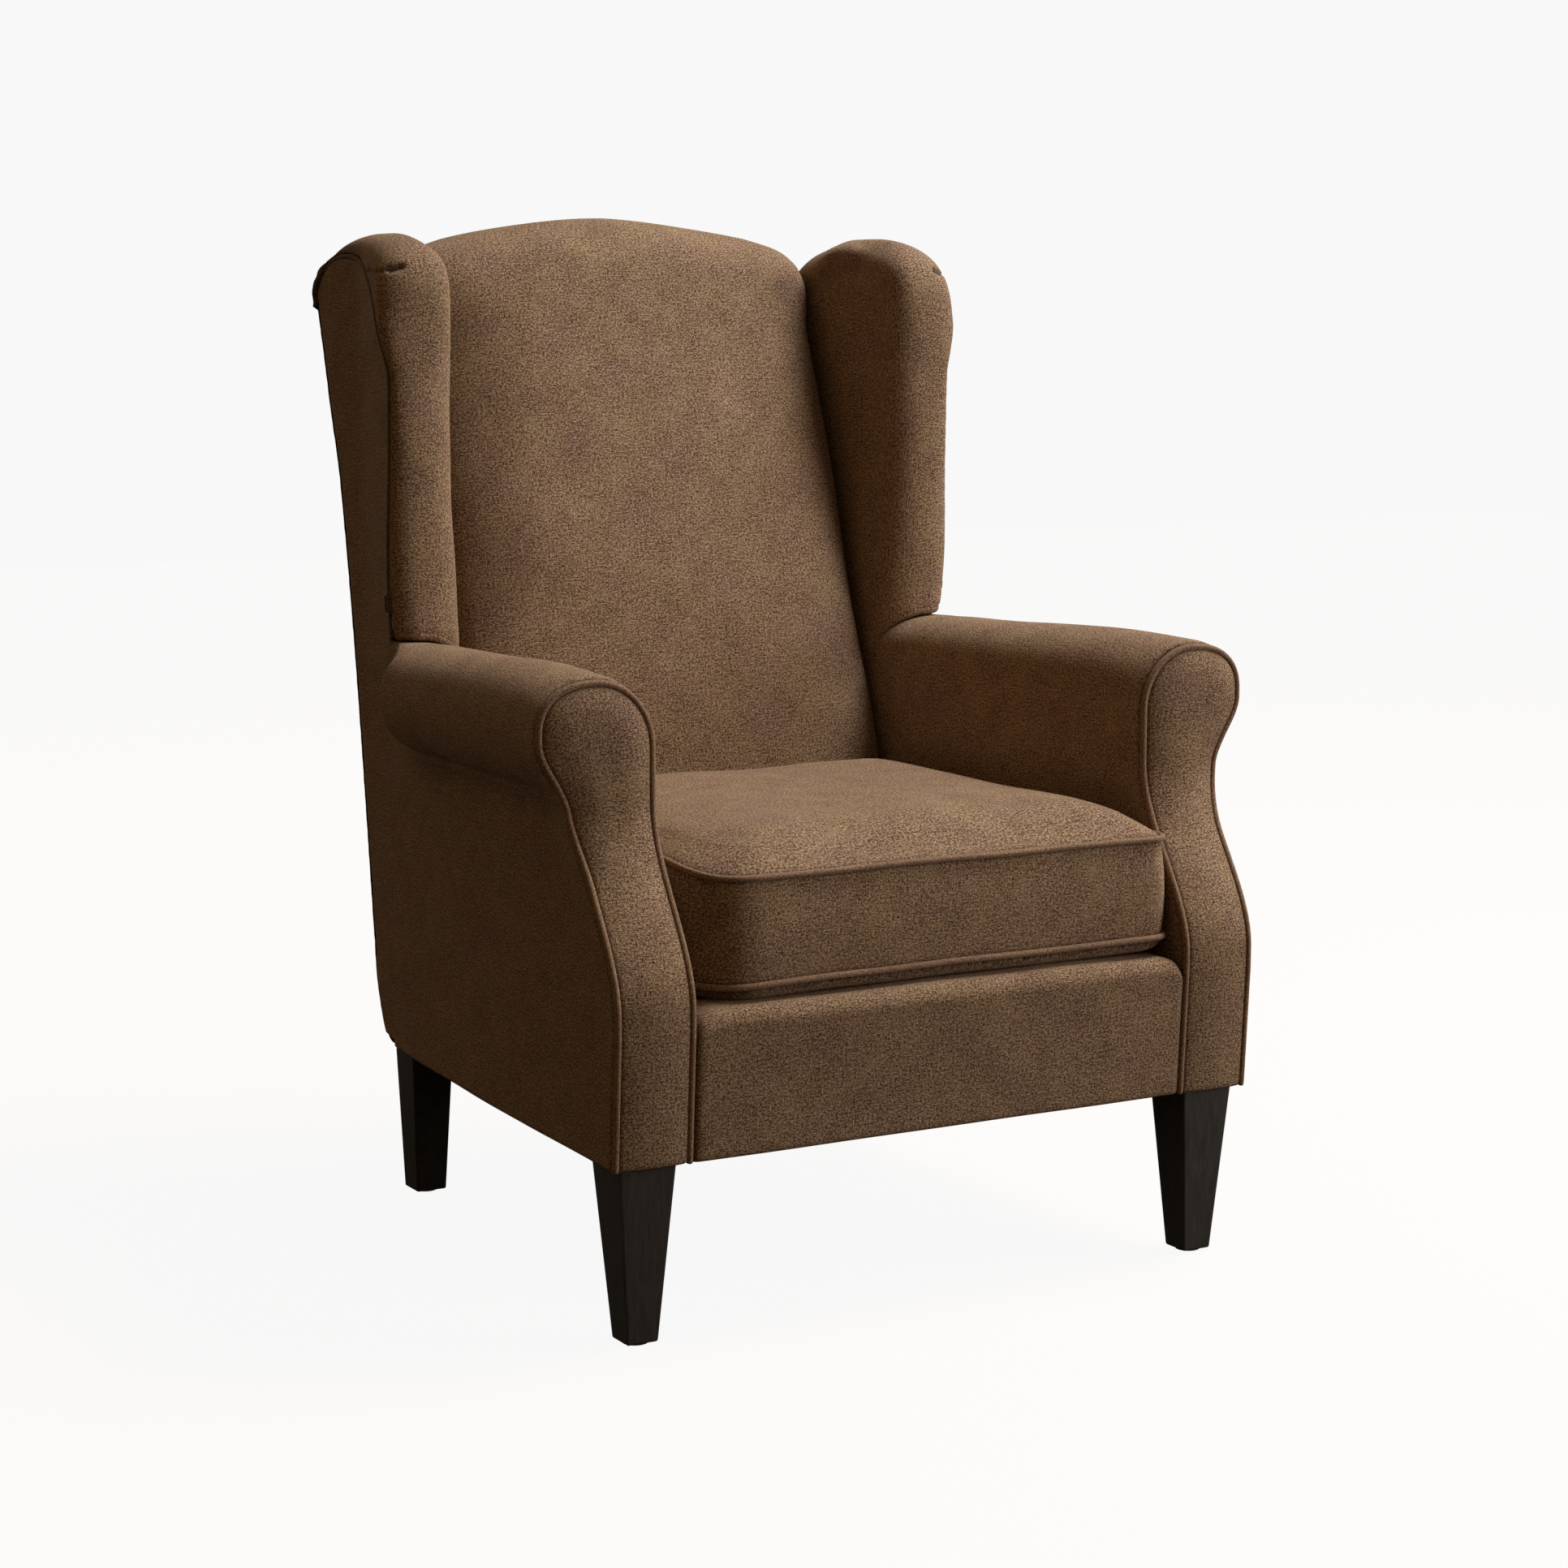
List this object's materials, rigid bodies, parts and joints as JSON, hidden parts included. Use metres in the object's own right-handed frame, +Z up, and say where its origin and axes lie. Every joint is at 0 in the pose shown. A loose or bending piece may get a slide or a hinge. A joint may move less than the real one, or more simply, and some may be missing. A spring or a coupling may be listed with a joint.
{
  "type": "wingback armchair",
  "caption": "Wing-back fireside armchair with rolled arms, a loose piped seat cushion and tapered timber legs.",
  "frame": {"origin": "centre of the chair's footprint on the floor", "axes": "-Y is the front of the chair, +X its left as a sitter sees it, +Z up"},
  "size_m": [0.786, 0.8184, 1.038],
  "materials": {
    "cover_fabric": "brown fine-weave upholstery cloth, matt",
    "piping_fabric": "self piping in the cover cloth, matt",
    "leg_timber": "near-black espresso stain, satin",
    "frame_timber": "bare frame timber",
    "fittings_steel": "zinc-plated steel",
    "webbing": "elastic webbing",
    "platform_fabric": "padded platform cloth",
    "underside_cloth": "black dust cloth",
    "cushion_filling": "wrapped foam",
    "zip_plastic": "nylon zip",
    "glide_plastic": "black plastic glide"
  },
  "bodies": {
    "chair": {"front_rail": "frame_timber", "rear_rail": "frame_timber", "left_side_rail": "frame_timber", "right_side_rail": "frame_timber", "corner_blocks": "frame_timber", "left_arm_post": "frame_timber", "right_arm_post": "frame_timber", "left_arm_rail": "frame_timber", "right_arm_rail": "frame_timber", "left_roll_core": "frame_timber", "right_roll_core": "frame_timber", "left_back_post": "frame_timber", "right_back_post": "frame_timber", "back_lower_rail": "frame_timber", "crest_rail": "frame_timber", "left_wing_board": "frame_timber", "right_wing_board": "frame_timber", "seat_springs": "fittings_steel", "spring_clips": "fittings_steel", "back_webbing": "webbing", "seat_deck": "platform_fabric", "dust_cover": "underside_cloth", "front_border": "cover_fabric", "left_outside_arm": "cover_fabric", "right_outside_arm": "cover_fabric", "left_outside_wing": "cover_fabric", "right_outside_wing": "cover_fabric", "outside_back": "cover_fabric", "inside_back": "cover_fabric", "left_arm_pad": "cover_fabric", "right_arm_pad": "cover_fabric", "left_facing": "cover_fabric", "right_facing": "cover_fabric", "left_facing_piping": "piping_fabric", "right_facing_piping": "piping_fabric", "left_wing_pad": "cover_fabric", "right_wing_pad": "cover_fabric", "left_wing_piping": "piping_fabric", "right_wing_piping": "piping_fabric", "front_left_leg": "leg_timber", "front_right_leg": "leg_timber", "rear_left_leg": "leg_timber", "rear_right_leg": "leg_timber", "leg_plates": "fittings_steel", "leg_bolts": "fittings_steel", "glides": "glide_plastic", "block_screws": "fittings_steel"},
    "seat_cushion": {"cushion_core": "cushion_filling", "cushion_top_panel": "cover_fabric", "cushion_boxing": "cover_fabric", "cushion_bottom_panel": "cover_fabric", "cushion_top_piping": "piping_fabric", "cushion_bottom_piping": "piping_fabric", "cushion_zip": "zip_plastic"}
  },
  "joints": [
    {"name": "cushion_lift", "type": "slide", "parent": "chair", "child": "seat_cushion", "axis": [0, 0, 1], "range_m": [0, 0.25]}
  ]
}
